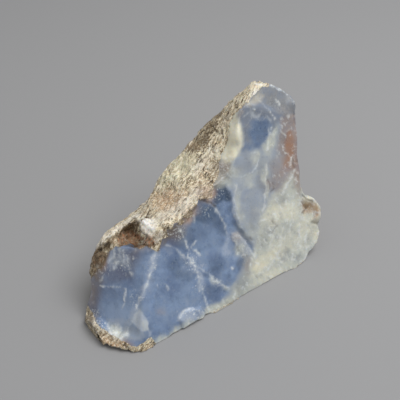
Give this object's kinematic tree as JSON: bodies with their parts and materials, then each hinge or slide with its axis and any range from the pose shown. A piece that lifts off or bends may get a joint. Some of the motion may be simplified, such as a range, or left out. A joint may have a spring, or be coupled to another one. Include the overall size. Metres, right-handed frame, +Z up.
{
  "type": "rough blue chalcedony",
  "caption": "Rough broken piece of blue chalcedony: wedge with flat fracture faces in front, weathered rind on top, ends and back, and a flat underside to stand on.",
  "frame": {"origin": "middle of the bounding box's underside, in the plane the stone stands on", "axes": "+X along the front edge, from the low rimmed end towards the peak; +Y away from the fractured front face; +Z up"},
  "size_m": [0.081, 0.0407, 0.0577],
  "materials": {
    "chalcedony": "translucent waxy fracture faces from grey blue to greenish white, and dull granular tan rind"
  },
  "bodies": {
    "root": {"chalcedony": "chalcedony"}
  },
  "joints": []
}
